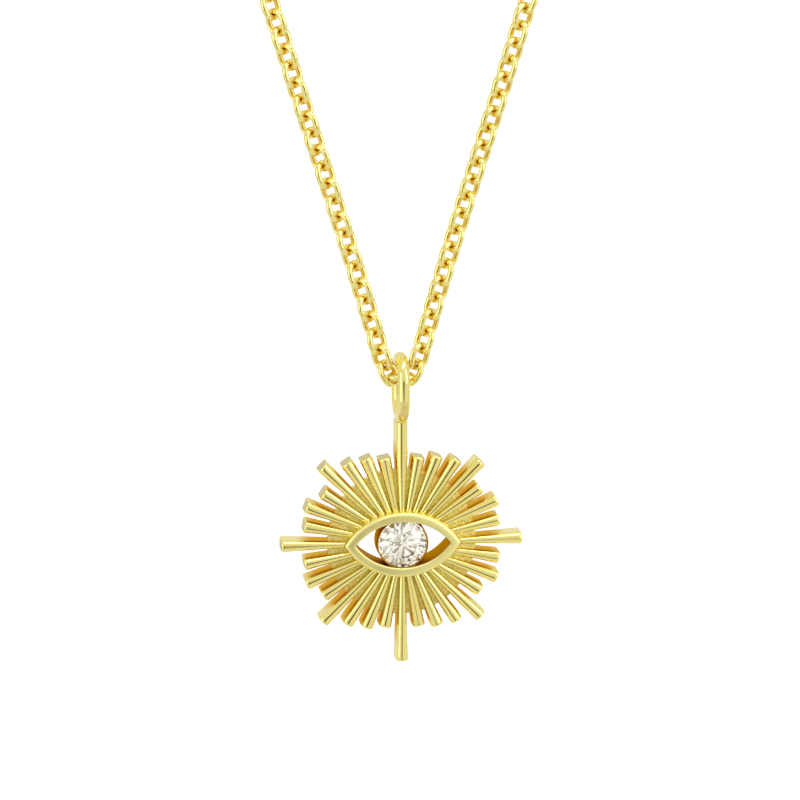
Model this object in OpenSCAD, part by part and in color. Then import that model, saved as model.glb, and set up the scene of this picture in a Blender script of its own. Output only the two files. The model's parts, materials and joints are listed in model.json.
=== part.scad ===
// Eye necklace: a flat sunburst pendant with a pointed eye frame and one round stone, which hangs by an
// oval ring from a fine cable chain. The chain closes behind the neck with a spring ring.
// +Z is up and the front faces -Y. The origin is where the nape of the neck carries the chain.
// Burst heights are measured from the middle of the stone, and depths from the middle of the rays.

/* [Chain] */
// Outer diameter of the chain across its rolled links
chain_d = 1.2; // [1:0.05:1.25]
// Wire diameter of the jump rings at the chain's ends
jump_wire_d = 0.5; // [0.4:0.05:0.5]
// Inner diameter of the jump rings
jump_inner_d = 2; // [1.9:0.05:2.1]
// Wire diameter of the clasp ring
clasp_wire_d = 1; // [0.8:0.05:1]
// Outer diameter of the clasp ring
clasp_d = 5.8; // [5.6:0.1:6]

/* [Bail ring] */
// Wire diameter of the oval ring that the chain runs through
bail_wire_d = 0.78; // [0.7:0.02:0.8]
// Outer height of the oval ring
bail_h = 4.5; // [4.2:0.1:4.8]
// Outer depth of the oval ring, from front to back
bail_depth = 3.5; // [3.4:0.05:3.8]
// Height of the chain's lowest link over the middle of the stone
hang_h = 10.4; // [10.2:0.1:10.8]
// Height of the oval ring's top over the chain's lowest link
bail_rise = 1.64; // [1.6:0.02:1.7]

/* [Sunburst] */
// Depth of a ray from its crest to the flat back
ray_depth = 1.4; // [1.2:0.05:1.5]
// Width of a ray at its tip
ray_tip_w = 0.82; // [0.74:0.01:0.84]
// Width of a ray where it leaves the eye frame
ray_root_w = 0.3; // [0.26:0.01:0.34]
// Bevel round the cut tip of a ray
ray_bevel = 0.06; // [0.03:0.01:0.1]
// Width of the stem between the burst and the oval ring
stem_w = 0.76; // [0.7:0.01:0.76]
// Radius of the recessed plate, to the corners under the rays
plate_r = 4.65; // [4.4:0.05:4.9]
// Depth of the plate's face below the crest of the rays
plate_drop = 0.42; // [0.36:0.02:0.5]
// Thickness of the plate
plate_t = 0.5; // [0.4:0.05:0.6]

/* [Eye] */
// Width of the eye frame from point to point
frame_w = 7.25; // [7:0.05:7.5]
// Height of the eye frame at its middle
frame_h = 4.1; // [4:0.05:4.3]
// Width of the opening in the eye frame
eye_w = 5.9; // [5.7:0.05:6]
// Height of the opening in the eye frame
eye_h = 2.9; // [2.84:0.02:2.92]
// Height of the frame's face over the crest of the rays
frame_rise = 0.6; // [0.5:0.05:0.8]
// Bevel along the outer and inner edge of the frame's face
frame_bevel = 0.1; // [0.05:0.01:0.14]
// Outer diameter of the stone
stone_d = 2.98; // [2.94:0.01:3]
// Outer diameter of the collet round the stone
collet_d = 3.34; // [3.3:0.02:3.4]
// Gap between the stone and the metal round it
seat_gap = 0.04; // [0.03:0.01:0.05]

/* [Hidden] */

gold = "#E3C558";
white_stone = "#F2F2EE";

// Half of the chain's route, from the link in the bail ring to the jump ring at the nape.
// Columns: distance from the middle, distance behind the front link, height over the front link.
ROUTE = [
    [0.12, 0, 0], [0.6, 0, 0.05], [1, 0, 0.95], [1.35, 0, 2.05], [2.6, 0, 6.2], [4.35, 0, 11.9],
    [6.25, 0, 17.9], [8.1, 0.2, 23.9], [12.5, 2.5, 37.5], [19, 8.5, 52.5], [27.5, 18.5, 67], [38, 32, 81.5],
    [48.5, 49, 94.5], [52.5, 59, 100.5], [53.5, 69.5, 106], [52.5, 80, 111], [49, 90, 115],
    [43, 98.5, 118.5], [35, 105, 121], [26, 109, 123], [16.5, 111.3, 124.3], [5.45, 112, 125]
];
// The front link lies this far in front of the origin and below it
hang_y = -110.5;
hang_z = -125;
// Rings of the chain's tube between two points of the route, and points round each ring
route_steps = 2;
tube_sides = 8;

ray_count = 32;
ray_step = 360 / ray_count;
// Reach of the rays by steps from the vertical, upright first and level last
REACH = [7.6, 5.5, 5.85, 6.2, 7, 5.9, 6.45, 6.2, 7.5];
quarter = len(REACH) - 1;

crest = -ray_depth / 2;
back = ray_depth / 2;
plate_face = crest + plate_drop;
frame_face = crest - frame_rise;
plate_back = plate_face + plate_t;
// A small step between the backs of the rays and the eye frame
frame_back = back + 0.05;
// A bevel narrows a pointed oval by twice its own width in height, and by more at its points
bevel_h = 2 * frame_bevel;
bevel_w = 3.4 * frame_bevel;

// Round brilliant proportions: table, star points and lower points as shares of the radius
table_share = 0.56;
star_share = 0.78;
lower_share = 0.24;
crown_angle = 34.5;
pavilion_angle = 40.8;
girdle = 0.08;
// Height of the table over the face of the eye frame
table_rise = 0.05;
stone_r = stone_d / 2;
crown_h = stone_r * (1 - table_share) * tan(crown_angle);
pavilion_h = stone_r * tan(pavilion_angle);
girdle_y = frame_face - table_rise + crown_h;
seat_y = girdle_y - 2 * seat_gap;
collet_front = girdle_y + girdle / 4;
collet_back = girdle_y + girdle + pavilion_h + 0.08;

jump_r = (jump_inner_d + jump_wire_d) / 2;
clasp_r = (clasp_d - clasp_wire_d) / 2;
// The clasp's small fixed eye
eyelet_wire_d = 0.5;
eyelet_r = 0.75;
eyelet_overlap = 0.15;
clasp_x = 0.95;
ring_gap = 0.1;
nape_y = ROUTE[len(ROUTE) - 1].y + hang_y;
eyelet_x = clasp_x - clasp_d / 2 - eyelet_r + eyelet_overlap;
jump_left_x = eyelet_x - jump_r;
jump_right_x = clasp_x + clasp_r - clasp_wire_d / 2 - ring_gap + jump_inner_d / 2;

// A point on the smooth curve through four route points, between the middle two
function spline_point(a, b, c, d, t) =
    (2 * b + (c - a) * t + (2 * a - 5 * b + 4 * c - d) * t * t + (3 * b - a - 3 * c + d) * t * t * t) / 2;

// A route with extra points on the smooth curve between its own points
function smoothed(p, steps) = let (last = len(p) - 1) [
    for (i = [0 : last - 1], k = [0 : steps - 1])
        spline_point(p[max(i - 1, 0)], p[i], p[i + 1], p[min(i + 2, last)], k / steps),
    p[last]
];

function unit(v) = v / norm(v);

// The direction of travel at a point of a path
function heading(p, i) = unit(p[min(i + 1, len(p) - 1)] - p[max(i - 1, 0)]);

// A closed solid through rows of points, each row round the solid in the same order
module loft(rows) {
    n = len(rows[0]);
    last = len(rows) - 1;
    walls = [
        for (i = [0 : last - 1], k = [0 : n - 1])
            let (next = (k + 1) % n)
                [i * n + k, (i + 1) * n + k, (i + 1) * n + next, i * n + next]
    ];
    first_end = [for (k = [0 : n - 1]) k];
    last_end = [for (k = [n - 1 : -1 : 0]) last * n + k];
    polyhedron(points = [for (row = rows) each row], faces = concat(walls, [first_end, last_end]), convexity = 6);
}

// A tube along a path. The reference is a direction that the path never takes.
module tube(path, d, sides, reference = [0, -0.6, 0.8]) {
    loft([
        for (i = [0 : len(path) - 1])
            let (t = heading(path, i), u = unit(cross(t, reference)), v = cross(t, u))
                [for (k = [0 : sides - 1])
                    path[i] + d / 2 * (u * cos(360 * k / sides) + v * sin(360 * k / sides))]
    ]);
}

// Half of the chain, on the wearer's left side of the front link
module chain_half() {
    color(gold)
        translate([0, hang_y, hang_z])
            tube(smoothed(ROUTE, route_steps), chain_d, tube_sides);
}

module chain_right() {
    chain_half();
}

module chain_left() {
    mirror([1, 0, 0]) chain_half();
}

// A round ring of wire that lies level
module wire_ring(r, wire_d) {
    rotate_extrude($fn = 64)
        translate([r, 0])
            circle(d = wire_d, $fn = 32);
}

module jump_ring(x) {
    color(gold)
        translate([x, nape_y, 0])
            wire_ring(jump_r, jump_wire_d);
}

module jump_ring_left() {
    jump_ring(jump_left_x);
}

module jump_ring_right() {
    jump_ring(jump_right_x);
}

// The closed spring ring with its fixed eye, upright behind the neck
module clasp() {
    color(gold)
        translate([0, nape_y, 0])
            rotate([90, 0, 0]) {
                translate([clasp_x, 0, 0]) wire_ring(clasp_r, clasp_wire_d);
                translate([eyelet_x, 0, 0]) wire_ring(eyelet_r, eyelet_wire_d);
            }
}

// Points across an upright ray at a height over the middle: a half-round crest, straight sides, a flat back
function ray_row(w, z) = [
    for (a = [180 : -30 : 0]) [w / 2 * cos(a), crest + w / 2 - w / 2 * sin(a), z],
    [w / 2, back, z],
    [-w / 2, back, z]
];

// Reach of the ray that is a number of steps round from the upright one
function reach(i) = REACH[quarter - abs(quarter - i % (2 * quarter))];

// Distance from the middle to the edge of a pointed oval, in a direction measured from the upright
function oval_radius(w, h, angle) =
    let (r = (w * w + h * h) / (4 * h), c = h / 2 - r, along = c * cos(angle))
        along + sqrt(along * along - c * c + r * r);

// A pointed oval: two equal arcs that meet at its left and right points
module pointed_oval(w, h) {
    r = (w * w + h * h) / (4 * h);
    intersection() {
        translate([0, h / 2 - r]) circle(r, $fn = 128);
        translate([0, r - h / 2]) circle(r, $fn = 128);
    }
}

// One ray, which widens from the eye frame to its bevelled tip
module ray(angle, tip) {
    root = oval_radius((frame_w + eye_w) / 2, (frame_h + eye_h) / 2, min(angle % 180, 180 - angle % 180));
    bevelled = [for (p = ray_row(ray_tip_w - 2 * ray_bevel, tip)) p + [0, p.y < 0 ? ray_bevel : -ray_bevel, 0]];
    rotate([0, angle, 0])
        hull() loft([ray_row(ray_root_w, root), ray_row(ray_tip_w, tip - ray_bevel), bevelled]);
}

// All rays but the upright one, whose place the stem takes
module rays() {
    for (i = [1 : ray_count - 1])
        ray(i * ray_step, reach(i));
}

// A flat layer of the burst, drawn from the front, between two depths
module layer(front, rear) {
    translate([0, rear, 0]) rotate([90, 0, 0]) linear_extrude(rear - front) children();
}

module plate() {
    layer(plate_face, plate_back) circle(plate_r, $fn = ray_count);
}

// The eye frame's outer body, with its face bevelled along the edge
module frame_body() {
    hull() {
        layer(frame_face + frame_bevel, frame_back) pointed_oval(frame_w, frame_h);
        layer(frame_face, frame_back) pointed_oval(frame_w - bevel_w, frame_h - bevel_h);
    }
}

// The opening through the eye frame, wider at its face by the bevel
module eye_opening() {
    past = 0.5;
    layer(frame_face - past, frame_back + past) pointed_oval(eye_w, eye_h);
    hull() {
        layer(frame_face - past, frame_face) pointed_oval(eye_w + bevel_w, eye_h + bevel_h);
        layer(frame_face, frame_face + frame_bevel) pointed_oval(eye_w, eye_h);
    }
}

module stem() {
    top = hang_h + bail_rise - bail_h + bail_wire_d / 2;
    loft([
        ray_row(ray_root_w, (frame_h + eye_h) / 4),
        ray_row(stem_w, REACH[1]),
        ray_row(stem_w, top)
    ]);
}

// The oval ring, side on to the front, as two half rings joined by straight limbs
module bail_ring() {
    r = (bail_depth - bail_wire_d) / 2;
    limb = bail_h - bail_depth;
    translate([0, 0, hang_h + bail_rise - bail_h / 2])
        rotate([90, 0, 90]) {
            for (side = [-1, 1]) {
                translate([0, side * limb / 2, 0])
                    rotate([0, 0, 90 - side * 90])
                        rotate_extrude(angle = 180, $fn = 48)
                            translate([r, 0]) circle(d = bail_wire_d, $fn = 16);
                translate([side * r, -limb / 2, 0])
                    rotate([-90, 0, 0]) cylinder(h = limb, d = bail_wire_d, $fn = 16);
            }
        }
}

// The burst, eye frame, collet, stem and oval ring are soldered into one solid
module sunburst() {
    color(gold)
        translate([0, hang_y, hang_z - hang_h])
            difference() {
                union() {
                    difference() {
                        union() {
                            rays();
                            plate();
                            frame_body();
                        }
                        eye_opening();
                    }
                    layer(collet_front, collet_back) circle(d = collet_d, $fn = 48);
                    stem();
                    bail_ring();
                }
                layer(seat_y, collet_back + seat_gap) circle(d = stone_d + 2 * seat_gap, $fn = 48);
            }
}

function round_point(r, angle, z) = [r * cos(angle), r * sin(angle), z];

// A round brilliant with its girdle's upper edge at height 0 and its table up
module brilliant() {
    star_h = crown_h - (star_share * cos(22.5) - table_share) * stone_r * tan(crown_angle);
    lower_h = -girdle - stone_r * (1 - lower_share * cos(22.5)) * tan(pavilion_angle);
    points = [
        for (i = [0 : 7]) round_point(stone_r * table_share, i * 45, crown_h),
        for (i = [0 : 7]) round_point(stone_r * star_share, i * 45 + 22.5, star_h),
        for (i = [0 : 15]) round_point(stone_r, i * 22.5, 0),
        for (i = [0 : 15]) round_point(stone_r, i * 22.5, -girdle),
        for (i = [0 : 7]) round_point(stone_r * lower_share, i * 45 + 22.5, lower_h),
        [0, 0, -girdle - pavilion_h]
    ];
    star = 8;
    top = 16;
    bottom = 32;
    low = 48;
    culet = 56;
    faces = [
        [for (i = [7 : -1 : 0]) i],
        for (i = [0 : 7])
            let (n = (i + 1) % 8, p = (i + 7) % 8, g = 2 * i, m = 2 * i + 1, e = (2 * i + 2) % 16)
                each [
                    [i, n, star + i],
                    [i, star + i, top + g, star + p],
                    [star + i, top + m, top + g],
                    [star + i, top + e, top + m],
                    [top + g, top + m, bottom + m, bottom + g],
                    [top + m, top + e, bottom + e, bottom + m],
                    [bottom + g, bottom + m, low + i],
                    [bottom + m, bottom + e, low + i],
                    [bottom + g, low + i, culet, low + p]
                ]
    ];
    polyhedron(points = points, faces = faces, convexity = 2);
}

module eye_stone() {
    color(white_stone)
        translate([0, hang_y + girdle_y, hang_z - hang_h])
            rotate([90, 0, 0]) brilliant();
}

chain_left();
chain_right();
jump_ring_left();
jump_ring_right();
clasp();
sunburst();
eye_stone();
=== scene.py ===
# Eye necklace: a cast sunburst pendant with a pointed eye frame and one round stone, on a fine cable chain.
import json
import math

import bmesh
import bpy
from mathutils import Matrix, Quaternion, Vector


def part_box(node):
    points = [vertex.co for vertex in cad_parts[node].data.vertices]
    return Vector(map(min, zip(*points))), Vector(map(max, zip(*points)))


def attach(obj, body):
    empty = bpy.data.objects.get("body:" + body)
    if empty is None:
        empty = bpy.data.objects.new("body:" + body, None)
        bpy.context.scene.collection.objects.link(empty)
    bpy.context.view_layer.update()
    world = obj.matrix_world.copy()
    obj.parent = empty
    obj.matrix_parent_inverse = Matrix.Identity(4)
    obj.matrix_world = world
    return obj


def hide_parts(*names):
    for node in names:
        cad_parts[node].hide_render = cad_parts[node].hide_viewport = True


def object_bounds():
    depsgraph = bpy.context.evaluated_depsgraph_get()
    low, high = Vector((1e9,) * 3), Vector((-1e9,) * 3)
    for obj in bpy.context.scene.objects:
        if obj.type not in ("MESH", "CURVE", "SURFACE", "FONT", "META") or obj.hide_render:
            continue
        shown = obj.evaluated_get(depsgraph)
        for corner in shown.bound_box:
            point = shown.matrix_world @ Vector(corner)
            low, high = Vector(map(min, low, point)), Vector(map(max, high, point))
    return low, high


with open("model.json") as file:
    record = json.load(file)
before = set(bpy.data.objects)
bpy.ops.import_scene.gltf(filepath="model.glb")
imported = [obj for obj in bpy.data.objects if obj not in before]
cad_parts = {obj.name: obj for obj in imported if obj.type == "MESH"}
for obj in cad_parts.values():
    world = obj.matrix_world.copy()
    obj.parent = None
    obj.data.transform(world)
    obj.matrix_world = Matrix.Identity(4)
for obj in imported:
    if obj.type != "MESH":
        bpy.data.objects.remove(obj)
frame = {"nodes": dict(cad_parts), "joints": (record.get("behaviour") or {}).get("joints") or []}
cad_low, cad_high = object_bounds()

# The camera
# It stands a little above the pendant and a little to the left of it, with a long lens, and the stone sits
# a little right of the picture's middle and well below it.
mm = 0.001
hang = Vector(frame["joints"][0]["pos_m"])
stone_low, stone_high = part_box("eye_stone")
stone_middle = (stone_low + stone_high) / 2

camera_azimuth = math.radians(-8)
camera_elevation = math.radians(13)
camera_roll = math.radians(0.1)
camera_distance = 350 * mm
picture_width = 49.35 * mm
stone_right_of_middle = 0.12 * mm
stone_below_middle = 8.77 * mm

toward_camera = Vector((
    math.sin(camera_azimuth) * math.cos(camera_elevation),
    -math.cos(camera_azimuth) * math.cos(camera_elevation),
    math.sin(camera_elevation),
))
camera_level = toward_camera.to_track_quat("Z", "Y")
camera_turn = camera_level @ Quaternion((0, 0, 1), -camera_roll)
camera_data = bpy.data.cameras.new("camera")
camera_data.lens = camera_data.sensor_width * camera_distance / picture_width
camera_data.clip_start = 10 * mm
camera_data.clip_end = 20
camera = bpy.data.objects.new("camera", camera_data)
bpy.context.scene.collection.objects.link(camera)
picture_middle = stone_middle + camera_turn @ Vector((-stone_right_of_middle, stone_below_middle, 0))
camera.location = picture_middle + toward_camera * camera_distance
camera.rotation_euler = camera_turn.to_euler()
bpy.context.scene.camera = camera

# The floor and the light
# A pale floor lies just under the pendant, inside a white tent. Large soft boxes stand right, left and
# overhead. The tent has two dim places in front, which draw the dark lines along the polished rays.
floor_gap = 26 * mm
floor_radius = 3.0
floor_colour = (0.90, 0.90, 0.89, 1)
tent_white = (0.86, 0.86, 0.86, 1)
dim_gold = (0.10, 0.088, 0.025, 1)
dim_places = (          # direction from the pendant, and half the angle across
    (Vector((-0.07, -0.99, -0.09)).normalized(), math.radians(10)),
    (Vector((-0.04, -0.87, -0.50)).normalized(), math.radians(7)),
)
dim_blur = math.radians(6)
patch_beige = (0.36, 0.33, 0.21, 1)     # the two tones that light crosses the stone from
patch_white = (1.13, 1.11, 1.05, 1)
patch_scale = 17
patch_edges = (0.40, 0.58)              # noise values between which one tone passes to the other

floor_bm = bmesh.new()
bmesh.ops.create_circle(floor_bm, cap_ends=True, segments=96, radius=floor_radius)
bmesh.ops.translate(floor_bm, verts=floor_bm.verts, vec=(0, 0, cad_low.z - floor_gap))
floor_mesh = bpy.data.meshes.new("floor")
floor_bm.to_mesh(floor_mesh)
floor_bm.free()
floor = bpy.data.objects.new("floor", floor_mesh)
bpy.context.scene.collection.objects.link(floor)
floor_paint = bpy.data.materials.new("floor_paint")
floor_paint.use_nodes = True
floor_shader = floor_paint.node_tree.nodes["Principled BSDF"]
floor_shader.inputs["Base Color"].default_value = floor_colour
floor_shader.inputs["Roughness"].default_value = 0.9
floor_mesh.materials.append(floor_paint)
floor.visible_glossy = False
floor.visible_transmission = False

tent = bpy.data.worlds.new("tent")
tent.use_nodes = True
tent_nodes, tent_links = tent.node_tree.nodes, tent.node_tree.links
tent_place = tent_nodes.new("ShaderNodeTexCoord")
dim_share = tent_nodes.new("ShaderNodeMath")
dim_share.operation = "MAXIMUM"
for socket, (dim_place, half_angle) in zip(dim_share.inputs, dim_places):
    facing = tent_nodes.new("ShaderNodeVectorMath")
    facing.operation = "DOT_PRODUCT"
    facing.inputs[1].default_value = dim_place
    tent_links.new(tent_place.outputs["Generated"], facing.inputs[0])
    inside = tent_nodes.new("ShaderNodeMapRange")
    inside.interpolation_type = "SMOOTHSTEP"
    inside.inputs["From Min"].default_value = math.cos(half_angle + dim_blur)
    inside.inputs["From Max"].default_value = math.cos(half_angle)
    tent_links.new(facing.outputs["Value"], inside.inputs["Value"])
    tent_links.new(inside.outputs["Result"], socket)
tent_light = tent_nodes.new("ShaderNodeMix")
tent_light.data_type = "RGBA"
tent_light.inputs["A"].default_value = tent_white
tent_light.inputs["B"].default_value = dim_gold
tent_links.new(dim_share.outputs["Value"], tent_light.inputs["Factor"])
patches = tent_nodes.new("ShaderNodeTexNoise")
patches.inputs["Scale"].default_value = patch_scale
patches.inputs["Detail"].default_value = 0
tent_links.new(tent_place.outputs["Generated"], patches.inputs["Vector"])
patch_share = tent_nodes.new("ShaderNodeMapRange")
patch_share.interpolation_type = "SMOOTHSTEP"
patch_share.inputs["From Min"].default_value = patch_edges[0]
patch_share.inputs["From Max"].default_value = patch_edges[1]
tent_links.new(patches.outputs["Fac"], patch_share.inputs["Value"])
patch_light = tent_nodes.new("ShaderNodeMix")
patch_light.data_type = "RGBA"
patch_light.inputs["A"].default_value = patch_beige
patch_light.inputs["B"].default_value = patch_white
tent_links.new(patch_share.outputs["Result"], patch_light.inputs["Factor"])
light_path = tent_nodes.new("ShaderNodeLightPath")
seen = tent_nodes.new("ShaderNodeMix")
seen.data_type = "RGBA"
tent_links.new(light_path.outputs["Is Transmission Ray"], seen.inputs["Factor"])
tent_links.new(tent_light.outputs["Result"], seen.inputs["A"])
tent_links.new(patch_light.outputs["Result"], seen.inputs["B"])
tent_links.new(seen.outputs["Result"], tent_nodes["Background"].inputs["Color"])
bpy.context.scene.world = tent
bpy.context.scene.view_settings.view_transform = "Standard"


def soft_box(name, direction, distance, width, height, radiance):
    """A rectangular soft box in a direction from the pendant, turned to face it. Returns its light."""
    data = bpy.data.lights.new(name, "AREA")
    data.shape = "RECTANGLE"
    data.size = width
    data.size_y = height
    data.energy = radiance * math.pi * width * height
    light = bpy.data.objects.new(name, data)
    bpy.context.scene.collection.objects.link(light)
    light.location = hang + Vector(direction).normalized() * distance
    light.rotation_euler = Vector(direction).to_track_quat("Z", "Y").to_euler()
    return light


soft_box("right_box", (0.80, -0.60, 0.35), 0.6, 0.24, 0.50, 2.6)
soft_box("left_box", (-0.85, -0.50, 0.10), 0.6, 0.16, 0.50, 1.9)
soft_box("top_box", (0.20, -0.30, 1.00), 0.6, 0.50, 0.24, 2.6)
floor_wash = soft_box("floor_wash", (0, 0.3, 1), 1.2, 2.0, 2.0, 1.0)
floor_wash.visible_glossy = False
floor_wash.visible_transmission = False

# The recessed plate
# The thin cast web that carries the rays. It is sandblasted before plating, so it is dull and grainy, it is
# cut straight between the rays, and the eye's opening goes right through it.
hang_height = 10.4
burst_place = (     # from millimetres right of the stone's middle, above it, and out toward the front
    Matrix.Translation(Vector((0, hang.y, hang.z - hang_height * mm)))
    @ Matrix.Scale(mm, 4)
    @ Matrix.Rotation(math.radians(90), 4, "X")
)
ray_count = 32
plate_face = 0.28
plate_back = -0.22
plate_corner_r = 4.65
plate_rim_r = 4.5       # past this radius only the plate's cut rim is left
plate_round = 0.05
nearly_none = 0.001     # a distance too small to matter
looks_that_way = 0.5    # share of a face's normal along an axis, past which the face looks that way
nearly_square = 0.9     # the same, for a face that is almost square on
frame_size = (7.33, 4.1)
eye_size = (5.9, 2.9)


def pointed_oval(bm, width, height, out, steps):
    """Two equal arcs that meet at a left and a right point, at a distance out. Returns the new edges."""
    radius = (width ** 2 + height ** 2) / (4 * height)
    before = set(bm.edges)
    tip = bm.verts.new((-width / 2, 0, out))
    sweep = 2 * math.asin(width / 2 / radius)
    bmesh.ops.spin(
        bm, geom=[tip], cent=(0, height / 2 - radius, out), axis=(0, 0, -1), angle=sweep, steps=steps,
    )
    upper = [e for e in bm.edges if e not in before]
    upper += list({v for e in upper for v in e.verts})
    bmesh.ops.mirror(bm, geom=upper, axis="Y", merge_dist=nearly_none)
    return [e for e in bm.edges if e not in before]


def extrude_out(bm, faces, distance):
    """Extrudes faces along the depth. Returns the new faces and their vertices."""
    made = bmesh.ops.extrude_face_region(bm, geom=faces)["geom"]
    verts = [g for g in made if isinstance(g, bmesh.types.BMVert)]
    bmesh.ops.translate(bm, verts=verts, vec=(0, 0, distance))
    buried = [f for f in faces if any(len(e.link_faces) > 2 for e in f.edges)]
    bmesh.ops.delete(bm, geom=buried, context="FACES_KEEP_BOUNDARY")
    return [g for g in made if isinstance(g, bmesh.types.BMFace)], verts


def round_edges(bm, edges, width, segments):
    bm.normal_update()
    bmesh.ops.bevel(
        bm, geom=edges, affect="EDGES", offset=width, segments=segments, profile=0.5, material=-1,
        clamp_overlap=True,
    )


def add_piece(name, bm, place, materials, body, nodes, sharp=35):
    """Turns a mesh drawn in millimetres into a finished piece in its place, which stands for nodes."""
    bmesh.ops.transform(bm, verts=bm.verts, matrix=place)
    bmesh.ops.recalc_face_normals(bm, faces=bm.faces)
    mesh = bpy.data.meshes.new(name)
    bm.to_mesh(mesh)
    bm.free()
    for material in materials:
        mesh.materials.append(material)
    mesh.shade_smooth()
    mesh.set_sharp_from_angle(angle=math.radians(sharp))
    piece = bpy.data.objects.new(name, mesh)
    bpy.context.scene.collection.objects.link(piece)
    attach(piece, body)
    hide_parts(*nodes)


cloud_size = 2.5 * mm           # size of the slow drift in a gold's colour and gloss
pit_shade_noise = (0.35, 0.60)        # grain values that get the full painted pit shade, and none at all
gloss_noise = (0.3, 0.7)
gloss_drift = 0.2               # share by which the roughness drifts each way


def gold(name, deep, bright, roughness, grain_size, grain_depth, pit_shade_strength=0.0, edge_tint=(1, 1, 1)):
    """Gold plating whose colour and gloss drift, with a fine grain whose pits can take painted shade. In
    metres.
    """
    paint = bpy.data.materials.new(name)
    paint.use_nodes = True
    nodes, links = paint.node_tree.nodes, paint.node_tree.links
    shader = nodes["Principled BSDF"]
    shader.inputs["Metallic"].default_value = 1
    shader.inputs["Specular Tint"].default_value = (*edge_tint, 1)
    place = nodes.new("ShaderNodeTexCoord")
    cloud = nodes.new("ShaderNodeTexNoise")
    cloud.inputs["Scale"].default_value = 1 / cloud_size
    cloud.inputs["Detail"].default_value = 3
    grain = nodes.new("ShaderNodeTexNoise")
    grain.inputs["Scale"].default_value = 1 / grain_size
    grain.inputs["Detail"].default_value = 2
    for texture in (cloud, grain):
        links.new(place.outputs["Object"], texture.inputs["Vector"])
    plating = nodes.new("ShaderNodeMix")
    plating.data_type = "RGBA"
    plating.inputs["A"].default_value = (*deep, 1)
    plating.inputs["B"].default_value = (*bright, 1)
    links.new(cloud.outputs["Fac"], plating.inputs["Factor"])
    # Painted shade: the base colour is darkened in the grain's pits, standing in for the shade inside them.
    pit_shade_share = nodes.new("ShaderNodeMapRange")
    pit_shade_share.inputs["From Min"].default_value = pit_shade_noise[0]
    pit_shade_share.inputs["From Max"].default_value = pit_shade_noise[1]
    pit_shade_share.inputs["To Min"].default_value = 1 - pit_shade_strength
    pit_shade_share.inputs["To Max"].default_value = 1.0
    links.new(grain.outputs["Fac"], pit_shade_share.inputs["Value"])
    shaded = nodes.new("ShaderNodeVectorMath")
    shaded.operation = "SCALE"
    links.new(plating.outputs["Result"], shaded.inputs[0])
    links.new(pit_shade_share.outputs["Result"], shaded.inputs["Scale"])
    links.new(shaded.outputs["Vector"], shader.inputs["Base Color"])
    gloss = nodes.new("ShaderNodeMapRange")
    gloss.inputs["From Min"].default_value = gloss_noise[0]
    gloss.inputs["From Max"].default_value = gloss_noise[1]
    gloss.inputs["To Min"].default_value = roughness * (1 - gloss_drift)
    gloss.inputs["To Max"].default_value = roughness * (1 + gloss_drift)
    links.new(cloud.outputs["Fac"], gloss.inputs["Value"])
    links.new(gloss.outputs["Result"], shader.inputs["Roughness"])
    bump = nodes.new("ShaderNodeBump")
    bump.inputs["Distance"].default_value = grain_depth
    links.new(grain.outputs["Fac"], bump.inputs["Height"])
    links.new(bump.outputs["Normal"], shader.inputs["Normal"])
    return paint


gold_deep = (0.89, 0.75, 0.22)
gold_bright = (0.96, 0.84, 0.33)
# The plate's grain carries painted shade: its pits are darkened.
sandblasted_gold = gold(
    "sandblasted_gold", (0.99, 0.86, 0.27), (1.0, 0.93, 0.38), 0.45, 0.08 * mm, 0.07 * mm, 0.35,
)
polished_gold = gold("polished_gold", gold_deep, gold_bright, 0.10, 0.25 * mm, 0.0008 * mm)

plate_bm = bmesh.new()
bmesh.ops.create_circle(
    plate_bm, segments=ray_count, radius=plate_corner_r,
    matrix=Matrix.Translation((0, 0, plate_back)) @ Matrix.Rotation(math.radians(90), 4, "Z"),
)
bmesh.ops.subdivide_edges(plate_bm, edges=plate_bm.edges, cuts=1)
plate_rim = list(plate_bm.edges)
middle_of_frame = ((frame_size[0] + eye_size[0]) / 2, (frame_size[1] + eye_size[1]) / 2)
plate_hole = pointed_oval(plate_bm, *middle_of_frame, plate_back, ray_count)
bmesh.ops.bridge_loops(plate_bm, edges=plate_rim + plate_hole)
extrude_out(plate_bm, plate_bm.faces[:], plate_face - plate_back)
round_edges(
    plate_bm,
    [e for e in plate_bm.edges if all(v.co.z > 0 and v.co.xy.length > plate_rim_r for v in e.verts)
     and sum(abs(f.normal.z) > looks_that_way for f in e.link_faces) == 1],
    plate_round, 2,
)
for face in plate_bm.faces:
    at_rim = face.calc_center_median().xy.length > plate_rim_r
    face.material_index = int(at_rim and abs(face.normal.z) < nearly_square)
add_piece(
    "plate", plate_bm, burst_place, [sandblasted_gold, polished_gold], "pendant", ["sunburst"],
)

# The rays
# Thirty-one cast rays that widen from the eye frame to a cut tip, with a half-round crest and a flat back.
# Their crests are polished after casting and their cut ends are duller. Their side walls carry painted shade,
# a deep orange gold strongest near the plate's rim, for the shade and gold reflections between the rays. The
# upright one's place is taken by the stem.
crest = 0.7
back = -0.7
ray_reach = (7.6, 5.5, 5.85, 6.2, 7, 5.9, 6.45, 6.2, 7.5)   # by steps from the vertical, level last
ray_root_w = 0.30
ray_tip_w = 0.82
ray_tip_bevel = 0.14
ray_last_ring = 0.05    # share of a ray's length past its last ring of points, which keeps the bevel crisp
wall_shade_r = 5.1       # the radius where the side walls' painted shade is deepest
wall_square = 0.97      # share of a wall's normal across the ray, which leaves out the crest and the bevels


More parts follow.
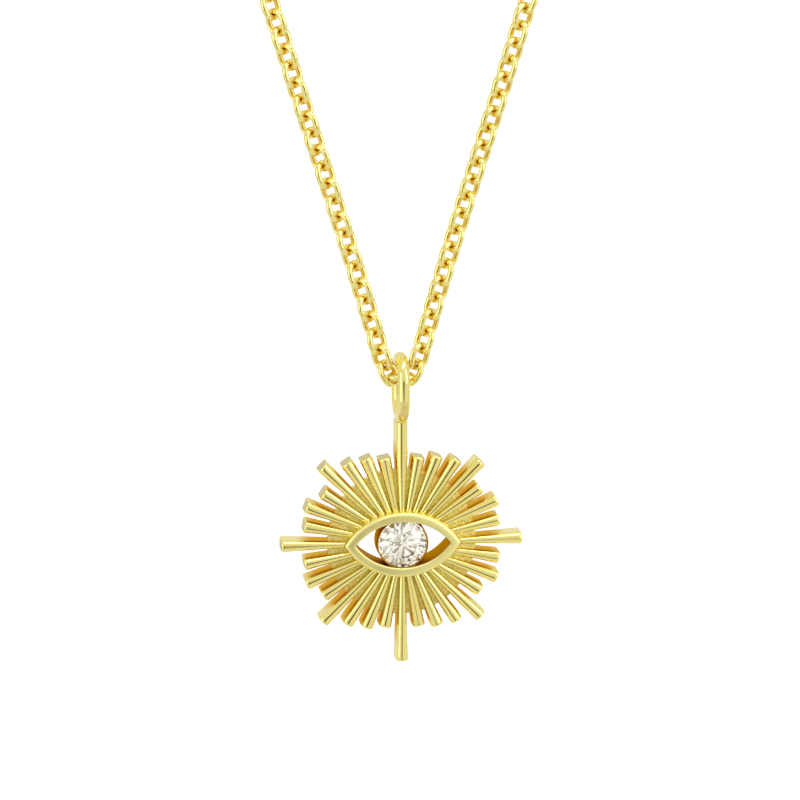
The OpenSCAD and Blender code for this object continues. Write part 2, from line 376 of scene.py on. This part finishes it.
def keep_in_band(paint, colour, band_r, full_w, end_w):
    """Keeps a burst metal near one radius, in millimetres, and lets it pass to plain metal on both sides."""
    nodes, links = paint.node_tree.nodes, paint.node_tree.links
    base, tint = (nodes["Principled BSDF"].inputs[name] for name in ("Base Color", "Specular Tint"))
    from_stone = nodes.new("ShaderNodeVectorMath")
    from_stone.operation = "DISTANCE"
    from_stone.inputs[1].default_value = burst_place.translation
    links.new(nodes["Texture Coordinate"].outputs["Object"], from_stone.inputs[0])
    off_band = nodes.new("ShaderNodeMath")
    off_band.operation = "SUBTRACT"
    off_band.inputs[1].default_value = band_r * mm
    links.new(from_stone.outputs["Value"], off_band.inputs[0])
    off_either_way = nodes.new("ShaderNodeMath")
    off_either_way.operation = "ABSOLUTE"
    links.new(off_band.outputs["Value"], off_either_way.inputs[0])
    share = nodes.new("ShaderNodeMapRange")
    share.interpolation_type = "SMOOTHSTEP"
    share.inputs["From Min"].default_value = full_w * mm
    share.inputs["From Max"].default_value = end_w * mm
    links.new(off_either_way.outputs["Value"], share.inputs["Value"])
    for far_colour, socket in (((*colour, 1), base), ((1, 1, 1, 1), tint)):
        passing = nodes.new("ShaderNodeMix")
        passing.data_type = "RGBA"
        passing.inputs["A"].default_value = socket.default_value
        passing.inputs["B"].default_value = far_colour
        links.new(share.outputs["Result"], passing.inputs["Factor"])
        if socket.is_linked:
            links.new(socket.links[0].from_socket, passing.inputs["A"])
        links.new(passing.outputs["Result"], socket)


# Painted shade on the side walls: a deep orange colour and edge tint that stand in for the shade and the gold
# reflected between the rays, strongest near the plate's rim and passing to plain gold away from it.
recess_shade_tint = (0.94, 0.70, 0.32)
painted_shade_wall_gold = gold(
    "painted_shade_wall_gold", (0.76, 0.45, 0.07), (0.90, 0.62, 0.15), 0.30, 0.08 * mm, 0.004 * mm, edge_tint=recess_shade_tint,
)
keep_in_band(painted_shade_wall_gold, gold_bright, wall_shade_r, 0.4, 1.6)
cut_gold = gold("cut_gold", (0.66, 0.58, 0.24), (0.76, 0.68, 0.34), 0.45, 0.06 * mm, 0.004 * mm)


def oval_radius(width, height, angle):
    """Distance from the middle to the edge of a pointed oval, in a direction measured from the upright."""
    radius = (width ** 2 + height ** 2) / (4 * height)
    along = (height / 2 - radius) * abs(math.cos(angle))
    return along + math.sqrt(along ** 2 - (height / 2 - radius) ** 2 + radius ** 2)


def upright_ray(bm, root, tip, root_w, tip_w):
    """A bar with a half-round crest and a flat back that widens as it rises. Returns its tip face."""
    middle = (0, root, crest - root_w / 2)
    left = bm.verts.new((-root_w / 2, root, middle[2]))
    arc = bmesh.ops.spin(bm, geom=[left], cent=middle, axis=(0, 1, 0), angle=math.pi, steps=16)
    right = arc["geom_last"][0]
    sides = bmesh.ops.extrude_vert_indiv(bm, verts=[left, right])
    for v in sides["verts"]:
        v.co.z = back
    outline = bmesh.ops.contextual_create(bm, geom=sides["verts"])["edges"]
    outline += [e for e in bm.edges if not e.link_faces and e not in outline]
    root_face = bmesh.ops.contextual_create(bm, geom=outline)["faces"]
    faces = root_face
    for share in (1 - ray_last_ring, 1):
        faces, verts = extrude_out(bm, faces, 0)
        reached = root + (tip - root) * share
        wide = root_w + (tip_w - root_w) * share
        grow = wide / max(v.co.x for v in verts) / 2
        spread = Matrix.Diagonal((grow, 1, grow, 1))
        bmesh.ops.transform(bm, verts=verts, matrix=spread, space=Matrix.Translation((0, 0, -crest)))
        for v in verts:
            v.co.y = reached
            if v.co.z < crest - wide / 2 - nearly_none:
                v.co.z = back
    return faces[0]


def paint_sides(bm):
    """Gives the side walls of an upright ray the second material, their painted shade, and its cut end the
    third.
    """
    bmesh.ops.recalc_face_normals(bm, faces=bm.faces)
    for face in bm.faces:
        face.material_index = int(abs(face.normal.x) > wall_square) + 2 * int(face.normal.y > nearly_square)


rays_bm = bmesh.new()
for step in range(1, ray_count):
    angle = 2 * math.pi * step / ray_count
    reach = ray_reach[8 - abs(8 - step % 16)]
    one_bm = bmesh.new()
    tip_face = upright_ray(one_bm, oval_radius(*middle_of_frame, angle), reach, ray_root_w, ray_tip_w)
    round_edges(one_bm, tip_face.edges[:], ray_tip_bevel, 3)
    paint_sides(one_bm)
    bmesh.ops.rotate(one_bm, verts=one_bm.verts, matrix=Matrix.Rotation(-angle, 3, "Z"))
    one_mesh = bpy.data.meshes.new("ray")
    one_bm.to_mesh(one_mesh)
    one_bm.free()
    rays_bm.from_mesh(one_mesh)
    bpy.data.meshes.remove(one_mesh)
add_piece(
    "rays", rays_bm, burst_place, [polished_gold, painted_shade_wall_gold, cut_gold], "pendant", ["sunburst"],
)

# The eye frame
# A heavy pointed oval ring cast with the rays, its face and edges softly rounded and brushed to a satin.
# Behind its lip it is bored out round, as the seat of the stone. The walls of its opening carry painted
# shade.
frame_face = 1.30
frame_dome = 0.016      # how much the face falls back toward its two points, for each square millimetre
frame_back = -0.75
outer_round = 0.22
inner_round = 0.10
satin_over_top = 0.35   # how far the satin runs over the inner edge before the opening's painted shade, in widths of its rounding
satin_over_low = 1.2
bore_r = 1.53
lip_back = 0.98
lip_step = 0.02         # depth over which the eye's opening widens to the round bore
on_outer_edge = 0.8     # shares of a pointed oval that tell the frame's outer edge and its opening
in_opening = 1.05

satin_gold = gold("satin_gold", (0.91, 0.81, 0.28), (0.99, 0.89, 0.39), 0.40, 0.05 * mm, 0.003 * mm)
# The opening's walls and the collet are painted shade: a dark orange-brown gold and edge tint that stand in
# for the shade and the gold reflected deep in the eye.
painted_shade_recess_gold = gold(
    "painted_shade_recess_gold", (0.50, 0.25, 0.02), (0.70, 0.40, 0.05), 0.34, 0.08 * mm, 0.008 * mm,
    edge_tint=(0.66, 0.42, 0.12),
)


def oval_share(point, size):
    """How far out a point lies in a pointed oval: about 1 at the edge, and less inside."""
    return (2 * point.x / size[0]) ** 2 + (2 * point.y / size[1]) ** 2


frame_bm = bmesh.new()
frame_outer = pointed_oval(frame_bm, *frame_size, frame_face, 40)
frame_inner = pointed_oval(frame_bm, *eye_size, frame_face, 40)
bmesh.ops.bridge_loops(frame_bm, edges=frame_outer + frame_inner)
lip_faces, _ = extrude_out(frame_bm, frame_bm.faces[:], lip_back - frame_face)
seat_faces, seat_verts = extrude_out(frame_bm, lip_faces, -lip_step)
for v in seat_verts:
    if v.co.xy.length < bore_r:
        v.co.xy = v.co.xy.normalized() * bore_r
extrude_out(frame_bm, seat_faces, frame_back - lip_back + lip_step)
face_edges = [
    e for e in frame_bm.edges
    if all(v.co.z > frame_face - nearly_none for v in e.verts)
    and any(abs(f.normal.z) < looks_that_way for f in e.link_faces)
]
outer_edges = [e for e in face_edges if oval_share(e.verts[0].co, frame_size) > on_outer_edge]
round_edges(frame_bm, outer_edges, outer_round, 5)
round_edges(frame_bm, [e for e in face_edges if e.is_valid and e not in outer_edges], inner_round, 3)
for v in frame_bm.verts:
    if v.co.z > lip_back:
        v.co.z -= frame_dome * v.co.x ** 2
# Faces of the opening past the satin rim take the opening's painted shade.
for face in frame_bm.faces:
    middle = face.calc_center_median()
    inside = oval_share(middle, eye_size) < in_opening
    rim_depth = (satin_over_top if middle.y > 0 else satin_over_low) * inner_round
    face.material_index = int(inside and middle.z < frame_face - frame_dome * middle.x ** 2 - rim_depth)
add_piece("eye_frame", frame_bm, burst_place, [satin_gold, painted_shade_recess_gold], "pendant", ["sunburst"])

# The collet
# A thin turned tube soldered across the opening, which holds the stone round its girdle. It carries the
# opening's painted shade.
collet_outer_r = 1.60
collet_inner_r = 1.51
collet_front = 0.90
collet_back = -0.55
collet_inner_round = 0.03
collet_outer_round = 0.05


def turned(bm, profile, steps):
    """Spins a closed outline of (radius, height out) points right round the depth."""
    corners = [bm.verts.new((r, 0, z)) for r, z in profile]
    edges = [bm.edges.new((a, b)) for a, b in zip(corners, corners[1:] + corners[:1])]
    bmesh.ops.spin(bm, geom=corners + edges, axis=(0, 0, 1), angle=2 * math.pi, steps=steps, use_merge=True)


collet_bm = bmesh.new()
turned(collet_bm, [
    (collet_inner_r, collet_back),
    (collet_inner_r, collet_front - collet_inner_round), (collet_inner_r + collet_inner_round, collet_front),
    (collet_outer_r - collet_outer_round, collet_front), (collet_outer_r, collet_front - collet_outer_round),
    (collet_outer_r, collet_back),
], 64)
add_piece("collet", collet_bm, burst_place, [painted_shade_recess_gold], "pendant", ["sunburst"], 50)

# The stone
# A round brilliant of clear cubic zirconia with flat polished facets. Its faint warm tint is a painted
# reflection of the gold around it.
stone_reflection_tint = (1, 0.985, 0.92, 1)
stone_ior = 2.15

clear_stone = bpy.data.materials.new("clear_stone")
clear_stone.use_nodes = True
stone_shader = clear_stone.node_tree.nodes["Principled BSDF"]
stone_shader.inputs["Base Color"].default_value = stone_reflection_tint
stone_shader.inputs["Roughness"].default_value = 0.0
stone_shader.inputs["IOR"].default_value = stone_ior
stone_shader.inputs["Transmission Weight"].default_value = 1.0
eye_stone = frame["nodes"]["eye_stone"]
eye_stone.data.materials.clear()
eye_stone.data.materials.append(clear_stone)

# The stem
# The upright ray goes on past the others as a plain bar of the same section. Its end meets the bail ring,
# which is soldered to it.
stem_w = 0.76
stem_top = 7.60

stem_bm = bmesh.new()
stem_face = upright_ray(stem_bm, middle_of_frame[1] / 2, ray_reach[1], ray_root_w, stem_w)
stem_end, stem_verts = extrude_out(stem_bm, [stem_face], 0)
bmesh.ops.translate(stem_bm, verts=stem_verts, vec=(0, stem_top - ray_reach[1], 0))
# Its side walls get the rays' painted shade.
paint_sides(stem_bm)
stem_end[0].material_index = 0
add_piece("stem", stem_bm, burst_place, [polished_gold, painted_shade_wall_gold], "pendant", ["sunburst"])

# The bail ring
# An oval ring of round wire, side on to the front, soldered to the stem. The chain runs through it, and
# the solder has left a rough patch low on its front.
bail_wire = 0.78
bail_depth = 3.5
bail_height = 4.5
bail_middle = 9.68

# The solder patch's grain carries painted shade in its pits.
solder_gold = gold("solder_gold", (0.86, 0.68, 0.18), (1.0, 0.88, 0.40), 0.26, 0.08 * mm, 0.05 * mm, 0.3)
solder_low = 8.2
solder_high = 9.2
solder_front = 0.8      # share of the ring's turn past which its wire faces the front

bail_bm = bmesh.new()
bail_turn = (bail_depth - bail_wire) / 2
bail_limb = bail_height - bail_depth
limb_top = Matrix.Translation((0, bail_middle + bail_limb / 2, bail_turn))
section = bmesh.ops.create_circle(
    bail_bm, segments=20, radius=bail_wire / 2, matrix=limb_top @ Matrix.Rotation(math.pi / 2, 4, "X"),
)
first_loop = bail_bm.edges[:]
over_top = bmesh.ops.spin(
    bail_bm, geom=section["verts"] + first_loop, cent=(0, bail_middle + bail_limb / 2, 0), axis=(-1, 0, 0),
    angle=math.pi, steps=24,
)
rear_limb = bmesh.ops.extrude_edge_only(
    bail_bm, edges=[g for g in over_top["geom_last"] if isinstance(g, bmesh.types.BMEdge)]
)["geom"]
rear_verts = [g for g in rear_limb if isinstance(g, bmesh.types.BMVert)]
bmesh.ops.translate(bail_bm, verts=rear_verts, vec=(0, -bail_limb, 0))
rear_edges = [
    g for g in rear_limb if isinstance(g, bmesh.types.BMEdge) and all(v in rear_verts for v in g.verts)
]
under = bmesh.ops.spin(
    bail_bm, geom=rear_verts + rear_edges, cent=(0, bail_middle - bail_limb / 2, 0), axis=(-1, 0, 0),
    angle=math.pi, steps=24,
)
last_loop = [g for g in under["geom_last"] if isinstance(g, bmesh.types.BMEdge)]
bmesh.ops.bridge_loops(bail_bm, edges=first_loop + last_loop)
bail_bm.normal_update()
bmesh.ops.recalc_face_normals(bail_bm, faces=bail_bm.faces)
for face in bail_bm.faces:
    middle = face.calc_center_median()
    front = middle.z > bail_turn * solder_front and abs(face.normal.x) < looks_that_way
    face.material_index = int(front and solder_low < middle.y < solder_high)
add_piece(
    "bail_ring", bail_bm, burst_place, [polished_gold, solder_gold], "pendant", ["sunburst"],
)

# The chain
# Round-wire oval links, each turned a quarter round from the next, so every link shows half on. Their insides
# carry painted shade, a deeper orange gold where the links meet. The two halves start from the front link in
# the bail ring and end in the jump rings at the nape.
link_length = 1.88
link_width = 1.56
link_wire = 0.39
front_link_width = 1.42   # a little squeezed, so that the bail ring swings clear of it
link_pitch = 1.087
links_a_side = 205
fine_links = 26
first_roll = 45         # degrees that the chain's first link is turned about its length
end_links = 3           # this many links at each end turn on, each by end_roll more, into the jump ring
end_roll = 15
inward = -0.3           # a face of the wire that faces the link's middle, and gets the painted shade
chain_front = Vector((-0.14, -0.97, 0.22))   # the side that both of two neighbouring links half face
link_inside_shade_gold = gold(
    "link_inside_shade_gold", (0.84, 0.56, 0.10), (0.94, 0.70, 0.18), 0.20, 0.08 * mm, 0.002 * mm,
    edge_tint=recess_shade_tint,
)
curve_steps = 10
jump_wire = 0.5
jump_r = 1.25
jump_x = {"left": -3.8, "right": 3.75}
# Half of the route: distance from the middle, behind the front link, and above it
route = (
    (0, 0, 0), (0.62, 0, -0.18), (1.05, 0, 0.75), (1.38, 0, 1.95), (2.6, 0, 6.2), (4.35, 0, 11.9),
    (6.25, 0, 17.9), (8.1, 0.2, 23.9), (12.5, 2.5, 37.5), (19, 8.5, 52.5), (27.5, 18.5, 67), (38, 32, 81.5),
    (48.5, 49, 94.5), (52.5, 59, 100.5), (53.5, 69.5, 106), (52.5, 80, 111), (49, 90, 115),
    (43, 98.5, 118.5), (35, 105, 121), (26, 109, 123), (16.5, 111.3, 124.3), (5.45, 112, 125),
)


def link_mesh(name, sides, bend_steps, width):
    """One oval link of round wire, which lies along X and flat in the level plane."""
    bm = bmesh.new()
    bend = (width - link_wire) / 2
    limb = link_length - link_wire - 2 * bend
    bmesh.ops.create_circle(
        bm, segments=sides, radius=link_wire / 2,
        matrix=Matrix.Translation((limb / 2, -bend, 0)) @ Matrix.Rotation(math.pi / 2, 4, "Y"),
    )
    bmesh.ops.spin(
        bm, geom=bm.verts[:] + bm.edges[:], cent=(limb / 2, 0, 0), axis=(0, 0, 1), angle=math.pi,
        steps=bend_steps,
    )
    bmesh.ops.mirror(bm, geom=bm.verts[:] + bm.edges[:] + bm.faces[:], axis="X", merge_dist=0)
    rims = [e for e in bm.edges if len(e.link_faces) == 1]
    bmesh.ops.bridge_loops(bm, edges=[e for e in rims if e.verts[0].co.y < 0])
    bmesh.ops.bridge_loops(bm, edges=[e for e in rims if e.is_valid and e.verts[0].co.y > 0])
    bmesh.ops.recalc_face_normals(bm, faces=bm.faces)
    # The faces that look into the link take the second material, painted shade.
    for face in bm.faces:
        middle = face.calc_center_median()
        face.material_index = int(face.normal.xy.dot(middle.xy.normalized()) < inward)
    mesh = bpy.data.meshes.new(name)
    bm.to_mesh(mesh)
    bm.free()
    return mesh


def half_route(end_x):
    """Close-set points along the smooth curve through one half of the route, up to the jump ring's link."""
    points = [Vector(p) for p in route]
    curve = []
    for i in range(len(points) - 1):
        a, b, c, d = points[max(i - 1, 0)], points[i], points[i + 1], points[min(i + 2, len(points) - 1)]
        for k in range(curve_steps):
            t = k / curve_steps
            bowed = (2 * a - 5 * b + 4 * c - d) * t ** 2
            curve.append((2 * b + (c - a) * t + bowed + (3 * b - a - 3 * c + d) * t ** 3) / 2)
    curve.append(points[-1])
    curve.append(Vector((end_x, points[-1].y, points[-1].z)))
    return curve


def knots_along(curve, pitch_count):
    """Points where links meet, half a pitch from the start and then a pitch apart to the end."""
    lengths = [0]
    for a, b in zip(curve, curve[1:]):
        lengths.append(lengths[-1] + (b - a).length)
    pitch = lengths[-1] / pitch_count
    knots, at = [], 0
    for n in range(int(pitch_count) + 1):
        target = (n + 0.5) * pitch
        while at < len(curve) - 2 and lengths[at + 1] < target:
            at += 1
        share = (target - lengths[at]) / (lengths[at + 1] - lengths[at])
        knots.append(curve[at].lerp(curve[at + 1], share))
    return knots


def link_place(start, end, roll):
    """Lays a link between two meeting points, turned about its own length."""
    ahead = (end - start).normalized()
    side = ahead.cross(chain_front).normalized()
    turn = Matrix((ahead, side, ahead.cross(side))).transposed().to_4x4()
    return Matrix.Translation((start + end) / 2) @ turn @ Matrix.Rotation(roll, 4, "X")


fine_link = link_mesh("fine_link", 12, 8, link_width)
plain_link = link_mesh("plain_link", 6, 4, link_width)
front_link = link_mesh("narrow_link", 12, 8, front_link_width)
chain_place = Matrix.Translation(hang) @ Matrix.Scale(mm, 4)
for side, mirror in (("left", -1), ("right", 1)):
    end_x = abs(jump_x[side]) + jump_r - (jump_wire + link_wire) / 2
    end_x += (link_length - link_wire - link_pitch) / 2
    knots = [Vector((mirror * k.x, k.y, k.z)) for k in knots_along(half_route(end_x), links_a_side + 0.5)]
    chain_bm = bmesh.new()
    for n in range(links_a_side):
        roll = math.radians(first_roll + 90 * (n + (mirror > 0)))
        roll += mirror * math.radians(end_roll) * max(0, n - (links_a_side - 1 - end_links))
        shape = (fine_link if n < fine_links else plain_link).copy()
        shape.transform(link_place(knots[n], knots[n + 1], roll))
        chain_bm.from_mesh(shape)
        bpy.data.meshes.remove(shape)
    add_piece(
        "chain_links_" + side, chain_bm, chain_place, [polished_gold, link_inside_shade_gold], "chain",
        ["chain_" + side], 60,
    )
front_bm = bmesh.new()
front_bm.from_mesh(front_link)
add_piece(
    "front_link", front_bm, chain_place, [polished_gold, link_inside_shade_gold], "chain",
    ["chain_left", "chain_right"], 60,
)

# The jump rings
# Two soldered rings of round wire at the nape, which take the last link of each half.
nape_y = hang.y / mm + route[-1][1]


def wire_ring(bm, place, radius, wire):
    """A round ring of wire about the depth axis, moved to its place in millimetres."""
    section = bmesh.ops.create_circle(
        bm, segments=20, radius=wire / 2,
        matrix=Matrix.Translation((radius, 0, 0)) @ Matrix.Rotation(math.pi / 2, 4, "X"),
    )
    edges = list({e for v in section["verts"] for e in v.link_edges})
    before = set(bm.verts) - set(section["verts"])
    bmesh.ops.spin(
        bm, geom=section["verts"] + edges, axis=(0, 0, 1), angle=2 * math.pi, steps=48, use_merge=True
    )
    bmesh.ops.transform(bm, verts=[v for v in bm.verts if v not in before], matrix=place)


for side, x in jump_x.items():
    jump_bm = bmesh.new()
    wire_ring(jump_bm, Matrix.Translation((x, nape_y, 0)), jump_r, jump_wire)
    name = "jump_ring_" + side
    add_piece(name + "_wire", jump_bm, Matrix.Scale(mm, 4), [polished_gold], "chain", [name])

# The clasp
# A closed spring ring with a small fixed eye, upright behind the neck.
clasp_x = 0.95
clasp_r = 2.4
clasp_wire = 1.0
eyelet_x = -2.55
eyelet_r = 0.75
eyelet_wire = 0.5

clasp_bm = bmesh.new()
upright = Matrix.Rotation(math.pi / 2, 4, "X")
wire_ring(clasp_bm, Matrix.Translation((clasp_x, nape_y, 0)) @ upright, clasp_r, clasp_wire)
wire_ring(clasp_bm, Matrix.Translation((eyelet_x, nape_y, 0)) @ upright, eyelet_r, eyelet_wire)
add_piece("spring_ring", clasp_bm, Matrix.Scale(mm, 4), [polished_gold], "chain", ["clasp"])
